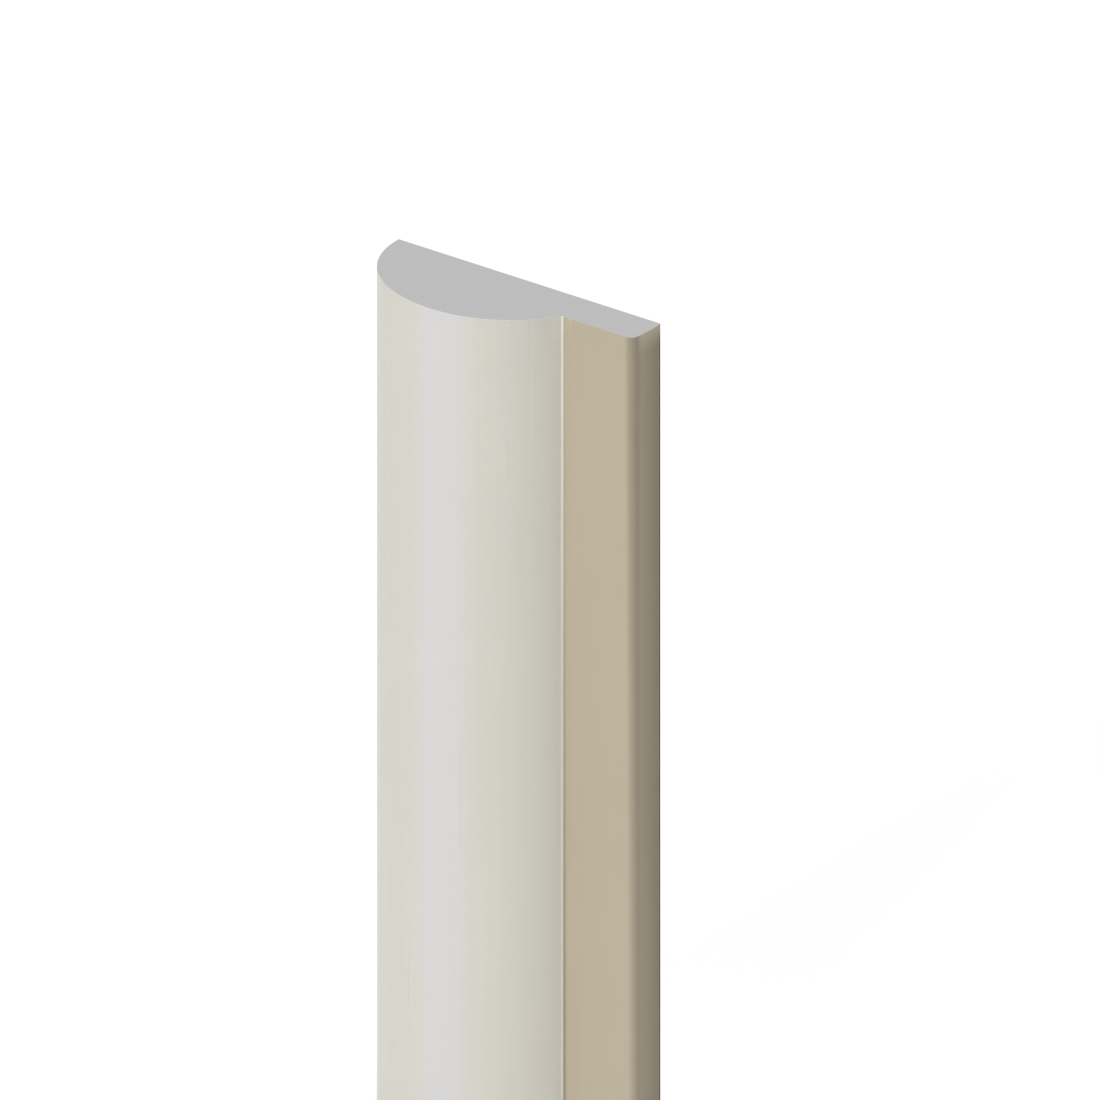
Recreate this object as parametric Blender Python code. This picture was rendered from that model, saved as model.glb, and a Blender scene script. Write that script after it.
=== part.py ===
# Finishing trim moulding: a half-elliptic bead with a thin flat lip along its right side
#
# One extruded piece with the same section from end to end, cut square at both ends.
# Its length runs up Z and its width runs along X, with the bead on the left and the lip on the right.
# The moulded front faces -Y, and the flat back, which is glued to the wall, faces +Y.
# The origin is at the middle of the section's box, on the lower cut end.

import math

import bmesh
import bpy
from mathutils import Vector

# Driving dimensions, in metres

MOULDING_LENGTH = 0.1000  # between the two square cuts

BEAD_WIDTH = 0.0268  # foot to foot, measured on the back face
BEAD_HEIGHT = 0.0120  # from the back face to the crown

LIP_WIDTH = 0.0084  # from the bead's right foot to the outer edge
LIP_THICKNESS = 0.0050  # from the back face to the lip's face
LIP_CORNER_RADIUS = 0.0009  # rounding of the lip's front corner
BACK_CORNER_RADIUS = 0.0003  # rounding between the outer edge and the back face

JUNCTION_RADIUS = 0.0003  # small cove where the bead's flank runs onto the lip

# How finely the round stretches are cut into flats

BEAD_SEGMENTS = 96
CORNER_SEGMENTS = 8
BACK_CORNER_SEGMENTS = 4
COVE_SEGMENTS = 4

# Finish of the extruded skin

SKIN_COLOUR = (0.68, 0.66, 0.58, 1.0)  # off-white, linear
SKIN_ROUGHNESS = 0.42
SKIN_METALLIC = 0.0

SMOOTH_ANGLE = math.radians(25.0)  # a sharper edge than this stays crisp
SOLVER_STEPS = 60


# The section is drawn as seen from above: u runs along the width from the bead's left foot,
# and v runs forward from the back face


def bead_point(angle):
    """Point on the bead's half-ellipse: angle 0 is its right foot and pi its left foot."""
    half_width = BEAD_WIDTH / 2.0
    return Vector((half_width + half_width * math.cos(angle), BEAD_HEIGHT * math.sin(angle)))


def bead_normal(angle):
    """Outward direction of the bead's surface at that angle."""
    half_width = BEAD_WIDTH / 2.0
    return Vector((BEAD_HEIGHT * math.cos(angle), half_width * math.sin(angle))).normalized()


def cove_start_angle():
    """Angle on the bead where a cove of the junction radius leaves it and comes down flat on the lip."""
    low, high = 0.0, math.pi / 2.0
    for _ in range(SOLVER_STEPS):
        middle = (low + high) / 2.0
        centre = bead_point(middle) + JUNCTION_RADIUS * bead_normal(middle)
        if centre.y < LIP_THICKNESS + JUNCTION_RADIUS:
            low = middle
        else:
            high = middle
    return (low + high) / 2.0


def arc(centre, radius, start, end, segments):
    """Points along an arc, with both of its ends."""
    points = []
    for step in range(segments + 1):
        angle = start + (end - start) * step / segments
        points.append(centre + radius * Vector((math.cos(angle), math.sin(angle))))
    return points


def section_outline():
    """The section's outline, from the bead's left foot over the crown to the lip's back corner."""
    start = cove_start_angle()
    bead = []
    for step in range(BEAD_SEGMENTS):
        bead.append(bead_point(math.pi + (start - math.pi) * step / BEAD_SEGMENTS))

    outward = bead_normal(start)
    cove_centre = bead_point(start) + JUNCTION_RADIUS * outward
    leaves_bead = math.atan2(-outward.y, -outward.x)
    meets_lip = -math.pi / 2.0
    cove = arc(cove_centre, JUNCTION_RADIUS, leaves_bead, meets_lip, COVE_SEGMENTS)

    outer_edge = BEAD_WIDTH + LIP_WIDTH
    radius = min(LIP_CORNER_RADIUS, LIP_THICKNESS)
    corner_centre = Vector((outer_edge - radius, LIP_THICKNESS - radius))
    corner = arc(corner_centre, radius, math.pi / 2.0, 0.0, CORNER_SEGMENTS)

    back_radius = min(BACK_CORNER_RADIUS, LIP_THICKNESS - radius)
    back_centre = Vector((outer_edge - back_radius, back_radius))
    back_corner = arc(back_centre, back_radius, 0.0, -math.pi / 2.0, BACK_CORNER_SEGMENTS)

    return bead + cove + corner + back_corner


def section_to_world(point):
    """Places a point of the section: the box is centred on the origin and the front turned to -Y."""
    total_width = BEAD_WIDTH + LIP_WIDTH
    total_depth = max(BEAD_HEIGHT, LIP_THICKNESS)
    return Vector((point.x - total_width / 2.0, total_depth / 2.0 - point.y, 0.0))


def make_skin_material():
    material = bpy.data.materials.new("off_white_skin")
    material.use_nodes = True
    shader = material.node_tree.nodes["Principled BSDF"]
    shader.inputs["Base Color"].default_value = SKIN_COLOUR
    shader.inputs["Roughness"].default_value = SKIN_ROUGHNESS
    shader.inputs["Metallic"].default_value = SKIN_METALLIC
    material.diffuse_color = SKIN_COLOUR
    return material


def make_moulding():
    """Draws the section as one face on the lower cut end and extrudes it up to the full length."""
    shape = bmesh.new()
    corners = [shape.verts.new(section_to_world(point)) for point in section_outline()]
    lower_end = shape.faces.new(corners)
    extruded = bmesh.ops.extrude_face_region(shape, geom=[lower_end], use_keep_orig=True)
    raised = [item for item in extruded["geom"] if isinstance(item, bmesh.types.BMVert)]
    bmesh.ops.translate(shape, verts=raised, vec=(0.0, 0.0, MOULDING_LENGTH))
    bmesh.ops.recalc_face_normals(shape, faces=shape.faces)

    mesh = bpy.data.meshes.new("trim_moulding")
    shape.to_mesh(mesh)
    shape.free()
    mesh.shade_smooth()
    mesh.set_sharp_from_angle(angle=SMOOTH_ANGLE)
    mesh.materials.append(make_skin_material())

    moulding = bpy.data.objects.new("trim_moulding", mesh)
    bpy.context.scene.collection.objects.link(moulding)
    return moulding


def clear_scene():
    for obj in list(bpy.data.objects):
        bpy.data.objects.remove(obj, do_unlink=True)


clear_scene()
make_moulding()
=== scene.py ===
# Looks of the finishing trim moulding: one length of foamed plastic extrusion with two coloured skins.
# Its length runs up Z, the bead stands on the left, the lip on the right, and the front faces -Y.
import math

import bpy
import numpy as np
from mathutils import Matrix, Vector


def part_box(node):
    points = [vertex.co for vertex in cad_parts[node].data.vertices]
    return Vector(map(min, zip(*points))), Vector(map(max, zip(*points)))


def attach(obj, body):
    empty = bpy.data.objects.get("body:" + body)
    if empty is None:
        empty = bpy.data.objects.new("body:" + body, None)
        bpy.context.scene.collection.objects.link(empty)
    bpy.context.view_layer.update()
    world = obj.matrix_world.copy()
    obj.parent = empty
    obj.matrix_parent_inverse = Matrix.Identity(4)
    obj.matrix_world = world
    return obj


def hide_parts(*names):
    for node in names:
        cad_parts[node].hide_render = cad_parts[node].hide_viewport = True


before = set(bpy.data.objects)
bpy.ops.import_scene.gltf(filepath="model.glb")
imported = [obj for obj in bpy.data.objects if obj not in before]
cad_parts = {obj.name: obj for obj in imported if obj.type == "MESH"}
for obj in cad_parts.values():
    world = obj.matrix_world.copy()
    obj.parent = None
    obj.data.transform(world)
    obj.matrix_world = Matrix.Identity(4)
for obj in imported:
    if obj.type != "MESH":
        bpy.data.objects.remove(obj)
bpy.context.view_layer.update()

trimLow, trimHigh = (Vector(corner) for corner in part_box("trim_moulding"))
mm = 0.001


# Colours are written as sRGB hex and turned linear here, and nowhere else
def hexToLinear(text):
    parts = [int(text[i:i + 2], 16) / 255 for i in (1, 3, 5)]
    return tuple(c / 12.92 if c <= 0.04045 else ((c + 0.055) / 1.055) ** 2.4 for c in parts) + (1.0,)


# Adds one node: inputs are values or sockets to link, settings are the node's own properties
def addNode(tree, kind, inputs=None, **settings):
    node = tree.nodes.new(kind)
    for name, value in settings.items():
        setattr(node, name, value)
    for key, value in (inputs or {}).items():
        if isinstance(value, bpy.types.NodeSocket):
            tree.links.new(value, node.inputs[key])
        else:
            node.inputs[key].default_value = value
    return node


print("stage 1: section")

# The section in millimetres: u runs along the width from the bead's left foot, v forward from the back.
# The overall width, depth and length come from the frame.
section = {
    "beadWidth": 26.8,  # foot to foot on the back face
    "lipThickness": 4.97,  # from the back to the lip's face
    "lipCorner": 0.9,  # radius of the lip's front corner
    "toeProud": -0.02,  # the bead's skin ends in a narrow toe; its level over the lip's face, so it is sunk
    "toeWidth": 0.21,
    "toeRound": 0.02,
    "toeWallLean": 0.01,  # its right wall leans out by this
    "cove": 0.05,  # where the bead's flank runs out onto the toe
    "grooveDepth": 0.05,  # fine groove along the toe, in the lip's skin
    "grooveWidth": 0.18,
    "grooveFlat": 0.45,  # the groove's floor, as a share of its width
    "edgeFall": 0.16,  # the outer edge falls back by this towards the back
    "edgeFallFrom": 2.4,  # and starts to do so this far in front of it
    "backArris": 0.08,  # rounding of the corner between outer edge and back
    "dieLine": 0.003,  # depth of the faint lines that the die leaves along the length
    "dieLineSpacing": (1.1, 5.0),  # mm between them, the closest and the widest
    "dieLineCount": 9,
    "dieLineSeed": 7,
    "deburr": 0.03,  # the saw's burr is broken off both cut ends by this
}

# How many columns of the section's grid each stretch gets, and its rows from back to front
sectionGrid = {
    "bead": 196,
    "cove": 6,
    "toe": 12,
    "groove": 8,
    "lip": 52,
    "corner": 22,
    "arris": 8,
    "edge": 52,
}
beadSteps = 4001  # points that the bead's curve is worked out at, before they are spread evenly

totalWidth = (trimHigh.x - trimLow.x) / mm
totalDepth = (trimHigh.y - trimLow.y) / mm
totalLength = trimHigh.z - trimLow.z


def evenlySpaced(points, count):
    points = np.array(points, dtype=float)
    steps = np.linalg.norm(np.diff(points, axis=0), axis=1)
    along = np.concatenate([[0], np.cumsum(steps)])
    at = np.linspace(0, along[-1], count)
    return np.stack([np.interp(at, along, points[:, k]) for k in (0, 1)], axis=1)


def arcPoints(centreU, centreV, radius, start, end, count=40):
    angles = np.linspace(start, end, count)
    return [(centreU + radius * math.cos(a), centreV + radius * math.sin(a)) for a in angles]


# Distance along a polyline as a share of its whole length
def shareAlong(points):
    steps = np.linalg.norm(np.diff(points, axis=0), axis=1)
    return np.concatenate([[0], np.cumsum(steps)]) / np.sum(steps)


# The bead's half-ellipse from foot to foot, as high as the frame's box
def beadCurve():
    half = section["beadWidth"] / 2
    around = np.linspace(0, math.pi, beadSteps)
    return np.stack([half - half * np.cos(around), totalDepth * np.sin(around)], axis=1)


# The front from the bead's left foot to the outer edge, with the number of columns in the bead's skin
def frontOutline():
    s, grid = section, sectionGrid
    toeLevel = s["lipThickness"] + s["toeProud"]
    curve = beadCurve()
    leaves = len(curve) - np.searchsorted(curve[::-1, 1], toeLevel + s["cove"])  # down the right flank
    bead = curve[:leaves]
    flank = bead[-1]
    downFlank = bead[-1] - bead[-2]
    knee = flank + downFlank * s["cove"] / -downFlank[1]  # where the flank would meet the toe's level
    toeStart = knee + np.array([s["cove"], 0])
    cove = [
        (1 - t) ** 2 * flank + 2 * t * (1 - t) * knee + t ** 2 * toeStart
        for t in np.linspace(0, 1, 20)
    ]
    toeEnd = toeStart[0] + s["toeWidth"]
    floorLevel = s["lipThickness"] - s["grooveDepth"]
    r = s["toeRound"]
    toe = [tuple(toeStart)] + arcPoints(toeEnd - r, toeLevel - r, r, math.pi / 2, 0, 6)
    toe += [(toeEnd + s["toeWallLean"], floorLevel)]
    groove = [
        toe[-1],
        (toeEnd + s["grooveWidth"] * s["grooveFlat"], floorLevel),
        (toeEnd + s["grooveWidth"], s["lipThickness"]),
    ]
    r = s["lipCorner"]
    corner = arcPoints(totalWidth - r, s["lipThickness"] - r, r, math.pi / 2, 0)
    lip = [groove[-1], corner[0]]
    outline = evenlySpaced(bead, grid["bead"])
    stretches = {"cove": cove, "toe": toe, "groove": groove, "lip": lip, "corner": corner}
    for name, points in stretches.items():
        outline = np.concatenate([outline, evenlySpaced(points, grid[name] + 1)[1:]])
    return outline, grid["bead"] + grid["cove"] + grid["toe"] - 1, toeStart[0]


# The outer edge from the back to the lip's corner: arris, a slight fall, then flat
def outerEdge():
    s, grid = section, sectionGrid
    r = s["backArris"]
    foot = totalWidth - s["edgeFall"]
    arris = arcPoints(foot - r, r, r, -math.pi / 2, 0)
    levels = np.linspace(r, s["lipThickness"] - s["lipCorner"], 200)
    shares = np.clip((s["edgeFallFrom"] - levels) / (s["edgeFallFrom"] - r), 0, 1)
    edge = np.stack([totalWidth - s["edgeFall"] * shares ** 2, levels], axis=1)
    return np.concatenate([evenlySpaced(arris, grid["arris"]), evenlySpaced(edge, grid["edge"] + 1)[1:]])


# Moves each point of an open outline inwards, which is to its right as it runs
def insetOutline(points, distance):
    along = np.gradient(points, axis=0)
    along /= np.linalg.norm(along, axis=1)[:, None]
    inward = np.stack([along[:, 1], -along[:, 0]], axis=1)
    return points + inward * np.reshape(distance, (-1, 1))


# Fills the section between its back, front and outer edge; its left side is one point, the bead's foot
def fillPatch(back, front, edge, across, upward):
    t = upward[None, :, None]
    s = across[:, None, None]
    ruled = (1 - t) * back[:, None] + t * front[:, None]
    endLine = (1 - t) * back[-1] + t * front[-1]
    edgeOnly = 10  # keeps the outer edge's rounding out of the rest of the section
    return ruled + s ** edgeOnly * (edge[None] - endLine)


def drawSection():
    s = section
    front, capColumns, junctionAt = frontOutline()
    edge = outerEdge()
    across = shareAlong(front)
    upward = shareAlong(edge)

    # Die lines: waves of a millimetre and more along the outline, cut inwards only
    draw = np.random.default_rng(s["dieLineSeed"])
    along = across * np.linalg.norm(np.diff(front, axis=0), axis=1).sum()
    count = s["dieLineCount"]
    waves = sum(
        np.sin(2 * math.pi * (along / draw.uniform(*s["dieLineSpacing"]) + draw.uniform()))
        for _ in range(count)
    )
    endFade = 60  # they fade in over a sixtieth of the outline from either end
    plain = np.clip(np.minimum(across, 1 - across) * endFade, 0, 1)
    front = insetOutline(front, s["dieLine"] * plain * (waves / count + 1) / 2)

    # The back's columns are spread so that none of the grid's lines leaves the section at the toe's wall
    backEnd = edge[0]
    toeTop, toeFoot = capColumns - sectionGrid["toe"], capColumns
    stations = [0, across[toeTop], across[toeFoot], 1]
    leanTop, leanFoot = 0.4, 0.1  # mm that the grid's lines lean at either side of the toe
    places = [0, front[toeTop, 0] - leanTop, front[toeFoot, 0] - leanFoot, backEnd[0]]
    spread = np.interp(across, stations, places)
    back = np.stack([spread, across * 0], axis=1)
    patch = fillPatch(back, front, edge, across, upward)

    # The burr is broken less at the toe and groove, which are hardly wider than it
    d = s["deburr"]
    toeMiddle = front[capColumns]
    toeReach, burrFade = 0.5, 1.5  # mm around the toe, and from there to where it is broken in full
    nearToe = np.clip(1 - (np.linalg.norm(front - toeMiddle, axis=1) - toeReach) / burrFade, 0, 1)
    leastBurr = s["toeRound"] / 2
    frontIn = insetOutline(front, d + (leastBurr - d) * nearToe)
    frontIn[0] = (d, d)
    edgeIn = insetOutline(edge[::-1], d)[::-1]
    edgeIn[0] = (backEnd[0], d)
    frontIn[-1] = edgeIn[-1]
    backIn = np.stack([d + spread * (1 - d / backEnd[0]), across * 0 + d], axis=1)
    burrInset = fillPatch(backIn, frontIn, edgeIn, across, upward) - patch

    # How far each point lies inside the outline, for the skin's rim on the cut ends
    rimPoints, chunks = 700, 40  # points on each side, and parts that the grid is measured in
    rim = np.concatenate([evenlySpaced(side, rimPoints) for side in (front, edge, back)])
    flat = patch.reshape(-1, 2)
    fromEdge = np.concatenate([
        np.linalg.norm(some[:, None] - rim[None], axis=2).min(axis=1)
        for some in np.array_split(flat, chunks)
    ])

    mesh = bpy.data.meshes.new("trimSection")
    low = np.array([trimLow.x, trimHigh.y])
    flip = np.array([mm, -mm])
    points = np.concatenate([low + flat * flip, np.zeros((len(flat), 1))], axis=1)
    mesh.from_pydata(points.tolist(), [], [])
    insets = np.concatenate([burrInset.reshape(-1, 2) * flip, np.zeros((len(flat), 1))], axis=1)
    mesh.attributes.new("burrInset", "FLOAT_VECTOR", "POINT").data.foreach_set("vector", insets.ravel())
    mesh.attributes.new("fromEdge", "FLOAT", "POINT").data.foreach_set("value", fromEdge * mm)
    return mesh, patch.shape[0], patch.shape[1], capColumns, junctionAt


sectionMesh, columnCount, rowCount, capColumnCount, junctionAt = drawSection()
print(f"  grid of {columnCount} x {rowCount}, {capColumnCount} columns in the bead's skin")

print("stage 2: materials")

# Bead: a skin of rigid plastic extruded over the foam, off-white. It comes off a polished die, so it is
# smooth and semi-gloss, with faint lines along the length; a broad soft reflection along the crown is
# painted into its tone.
capFinish = {
    "tone": "#CCC9BF",
    "toneStreak": "#CAC7BD",
    "crownHighlightTone": "#CCCBCA",  # painted highlight: a paler, more neutral band beside the crown, where a soft reflection falls
    "crownHighlightShare": 0.9,
    "crownHighlightBand": (10.4, 14.0, 15.6, 19.4),  # mm from the bead's left foot: rises, full, full, gone
    "toeHighlightTone": "#D9D5C2",  # painted highlight on the toe, a bright line paler than the bead's skin
    "toeHighlightLowTone": "#C3BFAF",  # and lower down, where the painted highlight is dimmer
    "toeHighlightBand": (0.05, -0.03),  # its tone fades in between these, in mm to the left of the junction
    "toeHighlightFade": (0.98, 0.50),  # it changes from one to the other between these shares of the length
    "streakWidth": 0.5,  # mm between die streaks
    "streakLength": 60.0,
    "cloudSize": 22.0,  # mm, slow drift of the tone
    "peelSize": 0.7,  # mm, the fine unevenness of a cooled skin
    "peelHeight": 0.0012,  # mm
    "streakHeight": 0.0016,
    "roughness": 0.31,
    "roughnessSpread": 0.04,
    "specular": 0.3,
    "ior": 1.53,
}

# Lip, outer edge and back: the same foam under a beige skin that is left satin from the calibrator
lipFinish = {
    "tone": "#B2A792",
    "toneStreak": "#B0A590",
    "grooveShadeTone": "#8A816C",  # painted shade along the groove, stronger lower down
    "cornerShadeTone": "#9A917B",  # painted shade on the front corner, stronger towards the top
    "arrisShadeTone": "#968D76",  # painted shade on the outer edge, darker towards the back
    "creaseShadeTone": "#544E40",  # and its last thin line, a darker painted shade that is also made matt
    "cutLightTone": "#C6BCA4",  # painted light: the outer edge lighter just below the saw cut
    # Where each tone fades in and where it is full, in mm
    "grooveShadeBand": (-0.80, -0.25),  # to the left of the junction, so below zero to its right
    "grooveShadeFront": (0.5, 2.0),  # in front of the back
    "grooveShadeTop": 0.98,  # share of the length where the painted shade starts
    "cornerShadeBand": (0.75, 0.0),  # to the left of the outer edge
    "cornerShadeFront": (3.5, 4.5),  # in front of the back
    "cornerShadeFoot": -0.35,  # share of the length where it would have faded out
    "cornerShadeLean": 0.5,  # reaches this much further across the lip at the top
    "edgeBand": (0.5, 0.3),  # to the left of the outer edge
    "arrisShadeBand": (4.6, -0.6),  # in front of the back
    "creaseShadeBand": (0.30, 0.18),
    "cutLightBand": (2.6, -0.4),  # below the upper cut
    "cutLightFront": (4.4, 3.4),  # in front of the back
    "streakWidth": 0.8,
    "streakLength": 45.0,
    "cloudSize": 18.0,
    "peelSize": 0.45,
    "peelHeight": 0.0016,
    "streakHeight": 0.0012,
    "roughness": 0.62,
    "roughnessSpread": 0.05,
    "specular": 0.25,
    "ior": 1.53,
}

# Cut ends: closed-cell foam as a fine-toothed saw leaves it, light grey and matt, with faint arcs
coreFinish = {
    "tone": "#B0B0B0",
    "cellTone": "#AEAEAE",
    "rimTone": "#B3B3B1",
    "rimWidth": 0.12,  # mm of skin that shows around the foam
    "cellSize": 0.28,
    "cellHeight": 0.003,
    "grainSize": 0.09,
    "cellShare": 0.75,  # how much the cells and the saw's arcs count in the tone, beside the grain's 1
    "arcShare": 0.10,
    "cellRange": (0.55, 1.25),  # what their sum runs between
    "rimFade": 0.6,  # share of the rim's width that shows in full
    "roughness": 0.8,
    "roughnessSpread": 0.08,
    "specular": 0.3,
    "ior": 1.5,
}
sawPitch = 0.8  # mm between the arcs that the saw leaves
sawCentre = (-0.060, 0.125, 0.0)  # where the blade turned, in metres

junction = trimLow.x + junctionAt * mm  # where the bead's flank meets its toe
streakRange = (0.3, 0.7)  # what the noise of the streaks runs between
streakCloudRange = (0.7, 1.3)  # and its sum with the clouds


def newMaterial(name):
    material = bpy.data.materials.new(name)
    material.use_nodes = True
    tree = material.node_tree
    tree.nodes.clear()
    shader = tree.nodes.new("ShaderNodeBsdfPrincipled")
    addNode(tree, "ShaderNodeOutputMaterial", {"Surface": shader.outputs[0]})
    place = addNode(tree, "ShaderNodeTexCoord").outputs["Object"]
    return material, tree, shader, place


# Both skins have streaks along the length, a slow drift of tone and a fine unevenness
def skinNodes(tree, shader, place, finish):
    f = finish
    drawn = addNode(tree, "ShaderNodeMapping", {
        "Vector": place,
        "Scale": (1, 1, f["streakWidth"] / f["streakLength"]),
    }).outputs[0]
    streaks = addNode(tree, "ShaderNodeTexNoise", {
        "Vector": drawn, "Scale": 1 / (f["streakWidth"] * mm), "Detail": 3.0, "Roughness": 0.6,
    }).outputs["Fac"]
    clouds = addNode(tree, "ShaderNodeTexNoise", {
        "Vector": place, "Scale": 1 / (f["cloudSize"] * mm), "Detail": 2.0,
    }).outputs["Fac"]
    both = addNode(tree, "ShaderNodeMath", {0: streaks, 1: clouds}, operation="ADD").outputs[0]
    share = addNode(tree, "ShaderNodeMapRange", {
        "Value": both, "From Min": streakCloudRange[0], "From Max": streakCloudRange[1],
    }, interpolation_type="SMOOTHSTEP").outputs[0]
    tone = addNode(tree, "ShaderNodeMix", {
        "Factor": share, "A": hexToLinear(f["tone"]), "B": hexToLinear(f["toneStreak"]),
    }, data_type="RGBA").outputs["Result"]
    peel = addNode(tree, "ShaderNodeTexNoise", {
        "Vector": place, "Scale": 1 / (f["peelSize"] * mm), "Detail": 4.0,
    }).outputs["Fac"]
    roughness = addNode(tree, "ShaderNodeMapRange", {
        "Value": streaks,
        "From Min": streakRange[0], "From Max": streakRange[1],
        "To Min": f["roughness"] - f["roughnessSpread"], "To Max": f["roughness"] + f["roughnessSpread"],
    }).outputs[0]
    tree.links.new(roughness, shader.inputs["Roughness"])
    peelBump = addNode(tree, "ShaderNodeBump", {
        "Height": peel, "Distance": f["peelHeight"] * mm, "Strength": 1.0,
    }).outputs[0]
    streakBump = addNode(tree, "ShaderNodeBump", {
        "Height": streaks, "Distance": f["streakHeight"] * mm, "Strength": 1.0, "Normal": peelBump,
    }).outputs[0]
    tree.links.new(streakBump, shader.inputs["Normal"])
    shader.inputs["IOR"].default_value = f["ior"]
    shader.inputs["Specular IOR Level"].default_value = f["specular"]
    return tone


# Share that goes from 0 to 1 between two stations along a direction
def ramp(tree, place, direction, start, end, kind="SMOOTHSTEP"):
    along = addNode(tree, "ShaderNodeVectorMath", {0: place, 1: direction}, operation="DOT_PRODUCT")
    return addNode(tree, "ShaderNodeMapRange", {
        "Value": along.outputs["Value"], "From Min": start, "From Max": end,
    }, interpolation_type=kind).outputs[0]


# The same from a level, with the two stations given in mm below it
def rampBelow(tree, place, direction, level, band):
    return ramp(tree, place, direction, level - band[0] * mm, level - band[1] * mm)


def product(tree, first, second):
    return addNode(tree, "ShaderNodeMath", {0: first, 1: second}, operation="MULTIPLY").outputs[0]


def blend(tree, share, below, above):
    mix = addNode(tree, "ShaderNodeMix", {"Factor": share, "A": below, "B": above}, data_type="RGBA")
    return mix.outputs["Result"]


alongX, alongY, alongZ = (1, 0, 0), (0, 1, 0), (0, 0, 1)


def makeCapSkin():
    f = capFinish
    material, tree, shader, place = newMaterial("extrudedPvcOffWhite")
    tone = skinNodes(tree, shader, place, f)
    # Painted highlight: a paler, more neutral band beside the crown stands in for a soft reflection
    stations = [trimLow.x + at * mm for at in f["crownHighlightBand"]]
    rising = ramp(tree, place, alongX, stations[0], stations[1])
    falling = ramp(tree, place, alongX, stations[3], stations[2])
    crown = product(tree, product(tree, rising, falling), f["crownHighlightShare"])
    tone = blend(tree, crown, tone, hexToLinear(f["crownHighlightTone"]))
    # Painted highlight along the toe, dimmer towards the lower end
    fadeTop, fadeFoot = f["toeHighlightFade"]
    low = ramp(tree, place, alongZ, fadeTop * totalLength, fadeFoot * totalLength)
    toeHighlightTone = blend(tree, low, hexToLinear(f["toeHighlightTone"]), hexToLinear(f["toeHighlightLowTone"]))
    onToe = rampBelow(tree, place, alongX, junction, f["toeHighlightBand"])
    tree.links.new(blend(tree, onToe, tone, toeHighlightTone), shader.inputs["Base Color"])
    return material


def makeLipSkin():
    f = lipFinish
    material, tree, shader, place = newMaterial("extrudedPvcBeige")
    tone = skinNodes(tree, shader, place, f)

    # Painted shade in the groove, on the front only, stronger lower down
    nearToe = rampBelow(tree, place, alongX, junction, f["grooveShadeBand"])
    onFront = rampBelow(tree, place, alongY, trimHigh.y, f["grooveShadeFront"])
    low = ramp(tree, place, alongZ, f["grooveShadeTop"] * totalLength, 0.0)
    grooveShade = product(tree, product(tree, nearToe, onFront), low)
    tone = blend(tree, grooveShade, tone, hexToLinear(f["grooveShadeTone"]))

    # Painted shade on the front corner: it reaches further across the lip towards the top
    leaning = (1, 0, f["cornerShadeLean"] * mm / totalLength)
    fromLip = rampBelow(tree, place, leaning, trimHigh.x, f["cornerShadeBand"])
    fromEdge = rampBelow(tree, place, alongY, trimHigh.y, f["cornerShadeFront"])
    high = ramp(tree, place, alongZ, f["cornerShadeFoot"] * totalLength, totalLength, "LINEAR")
    cornerShade = product(tree, product(tree, fromLip, fromEdge), high)
    tone = blend(tree, cornerShade, tone, hexToLinear(f["cornerShadeTone"]))

    # Painted shade towards the back arris of the outer edge, and a darker painted line of shade along it,
    # made matt too
    onEdge = rampBelow(tree, place, alongX, trimHigh.x, f["edgeBand"])
    toBack = rampBelow(tree, place, alongY, trimHigh.y, f["arrisShadeBand"])
    tone = blend(tree, product(tree, onEdge, toBack), tone, hexToLinear(f["arrisShadeTone"]))
    atArris = rampBelow(tree, place, alongY, trimHigh.y, f["creaseShadeBand"])
    creaseShadeMask = product(tree, onEdge, atArris)
    tone = blend(tree, creaseShadeMask, tone, hexToLinear(f["creaseShadeTone"]))
    sheen = addNode(tree, "ShaderNodeMapRange", {
        "Value": creaseShadeMask, "To Min": f["specular"], "To Max": 0.0,
    }).outputs[0]
    tree.links.new(sheen, shader.inputs["Specular IOR Level"])

    # Painted light: the outer edge lighter just below the saw cut
    nearCut = rampBelow(tree, place, alongZ, totalLength, f["cutLightBand"])
    behindCorner = rampBelow(tree, place, alongY, trimHigh.y, f["cutLightFront"])
    cutLight = product(tree, onEdge, product(tree, nearCut, behindCorner))
    tone = blend(tree, cutLight, tone, hexToLinear(f["cutLightTone"]))
    tree.links.new(tone, shader.inputs["Base Color"])
    return material


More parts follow.
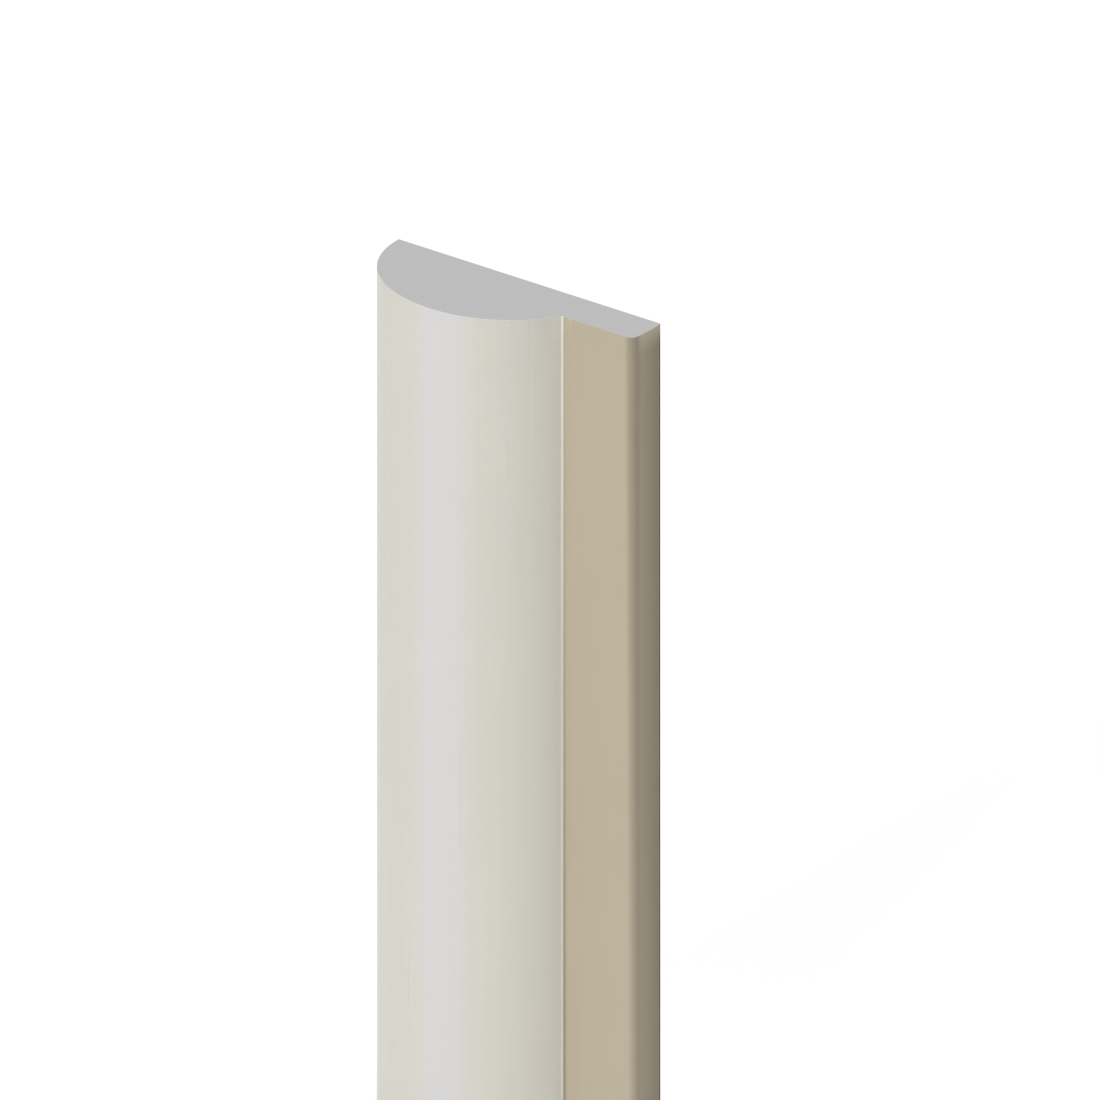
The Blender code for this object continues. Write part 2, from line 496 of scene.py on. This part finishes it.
def makeCore():
    material, tree, shader, place = newMaterial("sawnPvcFoam")
    f = coreFinish
    cells = addNode(tree, "ShaderNodeTexVoronoi", {
        "Vector": place, "Scale": 1 / (f["cellSize"] * mm),
    }).outputs["Distance"]
    grain = addNode(tree, "ShaderNodeTexNoise", {
        "Vector": place, "Scale": 1 / (f["grainSize"] * mm), "Detail": 2.0,
    }).outputs["Fac"]
    fromSaw = addNode(tree, "ShaderNodeVectorMath", {
        0: place, 1: sawCentre,
    }, operation="SUBTRACT").outputs[0]
    flatSaw = addNode(tree, "ShaderNodeVectorMath", {
        0: fromSaw, 1: (1, 1, 0),
    }, operation="MULTIPLY").outputs[0]
    reach = addNode(tree, "ShaderNodeVectorMath", {0: flatSaw}, operation="LENGTH").outputs["Value"]
    arcs = addNode(tree, "ShaderNodeMath", {
        0: reach, 1: 2 * math.pi / (sawPitch * mm),
    }, operation="MULTIPLY").outputs[0]
    arcWave = addNode(tree, "ShaderNodeMath", {0: arcs}, operation="SINE").outputs[0]
    cellsAndGrain = addNode(tree, "ShaderNodeMath", {
        0: cells, 1: f["cellShare"], 2: grain,
    }, operation="MULTIPLY_ADD").outputs[0]
    mixture = addNode(tree, "ShaderNodeMath", {
        0: arcWave, 1: f["arcShare"], 2: cellsAndGrain,
    }, operation="MULTIPLY_ADD").outputs[0]
    share = addNode(tree, "ShaderNodeMapRange", {
        "Value": mixture, "From Min": f["cellRange"][0], "From Max": f["cellRange"][1],
    }, interpolation_type="SMOOTHSTEP").outputs[0]
    foam = addNode(tree, "ShaderNodeMix", {
        "Factor": share, "A": hexToLinear(f["tone"]), "B": hexToLinear(f["cellTone"]),
    }, data_type="RGBA").outputs["Result"]
    inside = addNode(tree, "ShaderNodeAttribute", attribute_name="fromEdge").outputs["Fac"]
    rim = addNode(tree, "ShaderNodeMapRange", {
        "Value": inside, "From Min": f["rimWidth"] * mm, "From Max": f["rimWidth"] * mm * f["rimFade"],
    }).outputs[0]
    tone = addNode(tree, "ShaderNodeMix", {
        "Factor": rim, "A": foam, "B": hexToLinear(f["rimTone"]),
    }, data_type="RGBA").outputs["Result"]
    tree.links.new(tone, shader.inputs["Base Color"])
    roughness = addNode(tree, "ShaderNodeMapRange", {
        "Value": grain,
        "To Min": f["roughness"] - f["roughnessSpread"], "To Max": f["roughness"] + f["roughnessSpread"],
    }).outputs[0]
    tree.links.new(roughness, shader.inputs["Roughness"])
    bump = addNode(tree, "ShaderNodeBump", {"Height": cells, "Distance": f["cellHeight"] * mm}).outputs[0]
    tree.links.new(bump, shader.inputs["Normal"])
    shader.inputs["IOR"].default_value = f["ior"]
    shader.inputs["Specular IOR Level"].default_value = f["specular"]
    return material


capSkin = makeCapSkin()
lipSkin = makeLipSkin()
foamCore = makeCore()

print("stage 3: trim")

# What the extrusion's node tree is given; lengths in metres
extrusion = {
    "Length": totalLength,
    "Columns": columnCount,
    "Rows": rowCount,
    "Rings": 28,
    "Cap Columns": capColumnCount,
    "Deburr": section["deburr"] * mm,
    "Saw Pitch": sawPitch * mm,
    "Saw Centre": sawCentre,
    "Saw Depth": 0.008 * mm,
    "Pit Size": 0.75 * mm,  # torn cells that are wide enough to show as shape
    "Pit Depth": 0.016 * mm,
    "Relief From": 0.15 * mm,  # the relief fades in from the edge between these
    "Relief To": 0.60 * mm,
    "Seed": 11.0,
    "Cap": capSkin,
    "Skin": lipSkin,
    "Core": foamCore,
}


# Bends a block of the grid's size onto the section and draws it out along the length
def extrudeTree():
    tree = bpy.data.node_groups.new("extrudeTrim", "GeometryNodeTree")
    tree.is_modifier = True
    kinds = {float: "Float", int: "Int", tuple: "Vector"}
    tree.interface.new_socket(name="Section", in_out="INPUT", socket_type="NodeSocketGeometry")
    for name, value in extrusion.items():
        kind = kinds.get(type(value), "Material")
        tree.interface.new_socket(name=name, in_out="INPUT", socket_type="NodeSocket" + kind)
    tree.interface.new_socket(name="Trim", in_out="OUTPUT", socket_type="NodeSocketGeometry")
    given = tree.nodes.new("NodeGroupInput").outputs

    block = addNode(tree, "GeometryNodeMeshCube", {
        "Vertices X": given["Columns"], "Vertices Y": given["Rows"], "Vertices Z": given["Rings"],
    }).outputs["Mesh"]
    place = addNode(tree, "GeometryNodeInputPosition").outputs[0]
    capture = addNode(tree, "GeometryNodeCaptureAttribute", domain="FACE")
    capture.capture_items.new("VECTOR", "Block Place")
    tree.links.new(block, capture.inputs["Geometry"])
    tree.links.new(place, capture.inputs["Block Place"])
    split = addNode(tree, "ShaderNodeSeparateXYZ", {0: place}).outputs

    # Column, row and ring of each point, counted from the foot, the back and the lower end
    counts = {}
    runs = (("Columns", 0, -0.5, 0.5), ("Rows", 1, 0.5, -0.5), ("Rings", 2, -0.5, 0.5))
    for name, axis, start, end in runs:
        last = addNode(tree, "ShaderNodeMath", {0: given[name], 1: 1.0}, operation="SUBTRACT").outputs[0]
        at = addNode(tree, "ShaderNodeMapRange", {
            "Value": split[axis], "From Min": start, "From Max": end, "To Max": last,
        }).outputs[0]
        counts[name] = addNode(tree, "ShaderNodeMath", {0: at}, operation="ROUND").outputs[0]
    index = addNode(tree, "ShaderNodeMath", {
        0: counts["Columns"], 1: given["Rows"], 2: counts["Rows"],
    }, operation="MULTIPLY_ADD").outputs[0]

    sampled = {}
    for name, kind in (("position", "FLOAT_VECTOR"), ("burrInset", "FLOAT_VECTOR"), ("fromEdge", "FLOAT")):
        value = place
        if name != "position":
            stored = addNode(tree, "GeometryNodeInputNamedAttribute", {"Name": name}, data_type=kind)
            value = stored.outputs[0]
        sampled[name] = addNode(tree, "GeometryNodeSampleIndex", {
            "Geometry": given["Section"], "Value": value, "Index": index,
        }, data_type=kind, domain="POINT").outputs[0]

    # Height: rings 1 and last but one stand a burr's width inside the two ends
    beforeLast = addNode(tree, "ShaderNodeMath", {
        0: given["Rings"], 1: 2.0,
    }, operation="SUBTRACT").outputs[0]
    top = addNode(tree, "ShaderNodeMath", {
        0: given["Length"], 1: given["Deburr"],
    }, operation="SUBTRACT").outputs[0]
    height = addNode(tree, "ShaderNodeMapRange", {
        "Value": counts["Rings"], "From Min": 1.0, "From Max": beforeLast,
        "To Min": given["Deburr"], "To Max": top,
    }, clamp=False).outputs[0]
    height = addNode(tree, "ShaderNodeClamp", {"Value": height, "Max": given["Length"]}).outputs[0]
    fromMiddle = addNode(tree, "ShaderNodeMath", {0: split[2]}, operation="ABSOLUTE").outputs[0]
    nearlyHalf = 0.4999  # the block's sides stand at 0.5
    onEnd = addNode(tree, "ShaderNodeMath", {
        0: fromMiddle, 1: nearlyHalf,
    }, operation="GREATER_THAN").outputs[0]
    inset = addNode(tree, "ShaderNodeVectorMath", {
        0: sampled["burrInset"], "Scale": onEnd,
    }, operation="SCALE").outputs[0]
    flatPlace = addNode(tree, "ShaderNodeVectorMath", {0: sampled["position"], 1: inset}).outputs[0]

    # Relief of the sawn ends, cut inwards: arcs of the blade and torn cells
    fromSaw = addNode(tree, "ShaderNodeVectorMath", {
        0: flatPlace, 1: given["Saw Centre"],
    }, operation="DISTANCE").outputs["Value"]
    turns = addNode(tree, "ShaderNodeMath", {
        0: fromSaw, 1: given["Saw Pitch"],
    }, operation="DIVIDE").outputs[0]
    phase = addNode(tree, "ShaderNodeMath", {0: turns, 1: 2 * math.pi}, operation="MULTIPLY").outputs[0]
    wave = addNode(tree, "ShaderNodeMath", {0: phase}, operation="SINE").outputs[0]
    arcs = addNode(tree, "ShaderNodeMapRange", {
        "Value": wave, "From Min": -1.0, "From Max": 1.0, "To Max": given["Saw Depth"],
    }).outputs[0]
    density = addNode(tree, "ShaderNodeMath", {0: 1.0, 1: given["Pit Size"]}, operation="DIVIDE").outputs[0]
    pitRim, pitFloor = 0.45, 0.10  # from a cell's middle, as a share of the cells' spacing
    endPlace = addNode(tree, "ShaderNodeVectorMath", {0: flatPlace, 1: place}).outputs[0]
    cells = addNode(tree, "ShaderNodeTexVoronoi", {
        "Vector": endPlace, "W": given["Seed"], "Scale": density,
    }, voronoi_dimensions="4D").outputs["Distance"]
    pits = addNode(tree, "ShaderNodeMapRange", {
        "Value": cells, "From Min": pitRim, "From Max": pitFloor, "To Max": given["Pit Depth"],
    }, interpolation_type="SMOOTHSTEP").outputs[0]
    both = addNode(tree, "ShaderNodeMath", {0: arcs, 1: pits}).outputs[0]
    fade = addNode(tree, "ShaderNodeMapRange", {
        "Value": sampled["fromEdge"], "From Min": given["Relief From"], "From Max": given["Relief To"],
    }, interpolation_type="SMOOTHSTEP").outputs[0]
    faded = addNode(tree, "ShaderNodeMath", {0: both, 1: fade}, operation="MULTIPLY").outputs[0]
    onlyEnds = addNode(tree, "ShaderNodeMath", {0: faded, 1: onEnd}, operation="MULTIPLY").outputs[0]
    side = addNode(tree, "ShaderNodeMath", {0: split[2]}, operation="SIGN").outputs[0]
    inwards = addNode(tree, "ShaderNodeMath", {0: side, 1: -1.0}, operation="MULTIPLY").outputs[0]
    raised = addNode(tree, "ShaderNodeMath", {
        0: inwards, 1: onlyEnds, 2: height,
    }, operation="MULTIPLY_ADD").outputs[0]
    upward = addNode(tree, "ShaderNodeCombineXYZ", {"Z": raised}).outputs[0]
    finalPlace = addNode(tree, "ShaderNodeVectorMath", {0: flatPlace, 1: upward}).outputs[0]

    kept = addNode(tree, "GeometryNodeStoreNamedAttribute", {
        "Geometry": capture.outputs["Geometry"], "Name": "fromEdge", "Value": sampled["fromEdge"],
    }, data_type="FLOAT", domain="POINT").outputs[0]
    moved = addNode(tree, "GeometryNodeSetPosition", {"Geometry": kept, "Position": finalPlace}).outputs[0]
    weld = 0.001 * mm  # closes the block's corners and the bead's foot
    merged = addNode(tree, "GeometryNodeMergeByDistance", {"Geometry": moved, "Distance": weld}).outputs[0]
    real = addNode(tree, "GeometryNodeRealizeInstances", {"Geometry": merged}).outputs[0]

    # Faces by their place on the block: ends, the front as far as the toe, and the rest
    facePlace = addNode(tree, "ShaderNodeSeparateXYZ", {0: capture.outputs["Block Place"]}).outputs
    faceHeight = addNode(tree, "ShaderNodeMath", {0: facePlace[2]}, operation="ABSOLUTE").outputs[0]
    isEnd = addNode(tree, "ShaderNodeMath", {
        0: faceHeight, 1: nearlyHalf,
    }, operation="GREATER_THAN").outputs[0]
    isFront = addNode(tree, "ShaderNodeMath", {
        0: facePlace[1], 1: -nearlyHalf,
    }, operation="LESS_THAN").outputs[0]
    lastColumn = addNode(tree, "ShaderNodeMath", {
        0: given["Columns"], 1: 1.0,
    }, operation="SUBTRACT").outputs[0]
    column = addNode(tree, "ShaderNodeMapRange", {
        "Value": facePlace[0], "From Min": -0.5, "From Max": 0.5, "To Max": lastColumn,
    }).outputs[0]
    isBead = addNode(tree, "ShaderNodeMath", {
        0: column, 1: given["Cap Columns"],
    }, operation="LESS_THAN").outputs[0]
    isCap = addNode(tree, "ShaderNodeMath", {0: isFront, 1: isBead}, operation="MULTIPLY").outputs[0]
    result = real
    for name, selection in (("Skin", None), ("Cap", isCap), ("Core", isEnd)):
        inputs = {"Geometry": result, "Material": given[name]}
        if selection:
            inputs["Selection"] = selection
        result = addNode(tree, "GeometryNodeSetMaterial", inputs).outputs[0]
    addNode(tree, "NodeGroupOutput", {0: result})
    return tree


# The block that the tree starts from has a material slot with nothing in it
def dropEmptySlots(mesh):
    finishes = list(mesh.materials)
    kept = [finish for finish in finishes if finish]
    indices = np.zeros(len(mesh.polygons), dtype=np.int32)
    mesh.polygons.foreach_get("material_index", indices)
    mesh.materials.clear()
    for finish in kept:
        mesh.materials.append(finish)
    moved = np.array([kept.index(finish) if finish else 0 for finish in finishes], dtype=np.int32)
    mesh.polygons.foreach_set("material_index", moved[indices])


creaseAngle = math.radians(30)  # a sharper edge than this stays crisp


# The evaluated result becomes a plain mesh, and nothing live is left on the piece
def makeTrim():
    source = bpy.data.objects.new("trimSection", sectionMesh)
    bpy.context.scene.collection.objects.link(source)
    modifier = source.modifiers.new("extrudeTrim", "NODES")
    tree = extrudeTree()
    modifier.node_group = tree
    for item in tree.interface.items_tree:
        if item.in_out == "INPUT" and item.name in extrusion:
            modifier[item.identifier] = extrusion[item.name]
    depsgraph = bpy.context.evaluated_depsgraph_get()
    mesh = bpy.data.meshes.new_from_object(source.evaluated_get(depsgraph), depsgraph=depsgraph)
    bpy.data.objects.remove(source, do_unlink=True)
    mesh.name = "finishingTrim"
    dropEmptySlots(mesh)
    mesh.shade_smooth()
    mesh.set_sharp_from_angle(angle=creaseAngle)
    trim = bpy.data.objects.new("finishingTrim", mesh)
    bpy.context.scene.collection.objects.link(trim)
    return trim


trim = makeTrim()
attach(trim, "root")
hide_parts("trim_moulding")
triangles = sum(len(face.vertices) - 2 for face in trim.data.polygons)
print(f"  {triangles} triangles, materials {[m.name for m in trim.data.materials]}")

print("stage 4: floor, light and camera")

# Pale seamless floor
floorFinish = {
    "size": 6.0,
    "tone": "#F9F9FA",
    "toneDrift": "#F7F7F8",
    "driftScale": 3.0,
    "roughness": 0.9,
}


def makeFloor():
    half = floorFinish["size"] / 2
    mesh = bpy.data.meshes.new("studioFloor")
    corners = [(-half, -half, 0), (half, -half, 0), (half, half, 0), (-half, half, 0)]
    mesh.from_pydata(corners, [], [(0, 1, 2, 3)])
    material, tree, shader, place = newMaterial("matPaperFloor")
    drift = addNode(tree, "ShaderNodeTexNoise", {
        "Vector": place, "Scale": floorFinish["driftScale"],
    }).outputs["Fac"]
    tone = addNode(tree, "ShaderNodeMix", {
        "Factor": drift, "A": hexToLinear(floorFinish["tone"]), "B": hexToLinear(floorFinish["toneDrift"]),
    }, data_type="RGBA").outputs["Result"]
    tree.links.new(tone, shader.inputs["Base Color"])
    shader.inputs["Roughness"].default_value = floorFinish["roughness"]
    mesh.materials.append(material)
    floor = bpy.data.objects.new("studioFloor", mesh)
    bpy.context.scene.collection.objects.link(floor)
    return floor


makeFloor()

# Softboxes: azimuth 0 is straight in front, 90 is to the right; each looks at the trim's middle
studio = {
    "target": (0.0, 0.0, 0.05),
    "world": 0.0,  # all the light comes from the softboxes
    "lights": {
        "overhead": {"azimuth": 0, "elevation": 89, "distance": 3.0, "size": (0.8, 0.8), "power": 83.3},
        "frontLeft": {"azimuth": -45, "elevation": 12, "distance": 1.6, "size": (0.6, 0.4), "power": 2.76},
        "front": {"azimuth": 10, "elevation": 12, "distance": 1.6, "size": (0.6, 0.4), "power": 13.3},
        "behind": {"azimuth": 180, "elevation": 25, "distance": 1.6, "size": (0.6, 0.4), "power": 7.5},
    },
    "lampTone": "#FFFFFF",
}


def towards(azimuth, elevation):
    azimuth, elevation = math.radians(azimuth), math.radians(elevation)
    return Vector((
        math.sin(azimuth) * math.cos(elevation),
        -math.cos(azimuth) * math.cos(elevation),
        math.sin(elevation),
    ))


def makeLights():
    target = Vector(studio["target"])
    for name, lamp in studio["lights"].items():
        data = bpy.data.lights.new(name, "AREA")
        data.shape = "RECTANGLE"
        data.size, data.size_y = lamp["size"]
        data.energy = lamp["power"]
        data.color = hexToLinear(studio["lampTone"])[:3]
        softbox = bpy.data.objects.new(name, data)
        away = towards(lamp["azimuth"], lamp["elevation"])
        softbox.location = target + away * lamp["distance"]
        softbox.rotation_euler = away.to_track_quat("Z", "Y").to_euler()
        softbox.visible_camera = False
        bpy.context.scene.collection.objects.link(softbox)
    world = bpy.data.worlds.new("studioWorld")
    world.use_nodes = True
    background = world.node_tree.nodes["Background"]
    background.inputs["Color"].default_value = (1, 1, 1, 1)
    background.inputs["Strength"].default_value = studio["world"]
    bpy.context.scene.world = world


makeLights()

# Parallel view: the upper left back corner is put where the photograph has it
view = {
    "azimuth": 37.95,
    "elevation": 24.44,
    "pixelsPerMm": 9.475,
    "frame": 1100,
    "cornerPixel": (398.8, 238.93),
    "distance": 0.6,
    "clip": (0.01, 20),
}


def makeCamera():
    back = towards(view["azimuth"], view["elevation"])
    right = Vector((0, 0, 1)).cross(back).normalized()
    up = back.cross(right)
    corner = Vector((trimLow.x, trimHigh.y, trimHigh.z))
    metresPerPixel = mm / view["pixelsPerMm"]
    middle = view["frame"] / 2
    across = corner.dot(right) + (middle - view["cornerPixel"][0]) * metresPerPixel
    upward = corner.dot(up) + (view["cornerPixel"][1] - middle) * metresPerPixel
    data = bpy.data.cameras.new("camera")
    data.type = "ORTHO"
    data.ortho_scale = view["frame"] * metresPerPixel
    data.clip_start, data.clip_end = view["clip"]
    camera = bpy.data.objects.new("camera", data)
    bpy.context.scene.collection.objects.link(camera)
    turned = Matrix((right, up, back)).transposed().to_4x4()
    place = right * across + up * upward + back * view["distance"]
    camera.matrix_world = Matrix.Translation(place) @ turned
    bpy.context.scene.camera = camera


makeCamera()
bpy.context.scene.view_settings.view_transform = "Standard"

print("stage 5: finish")
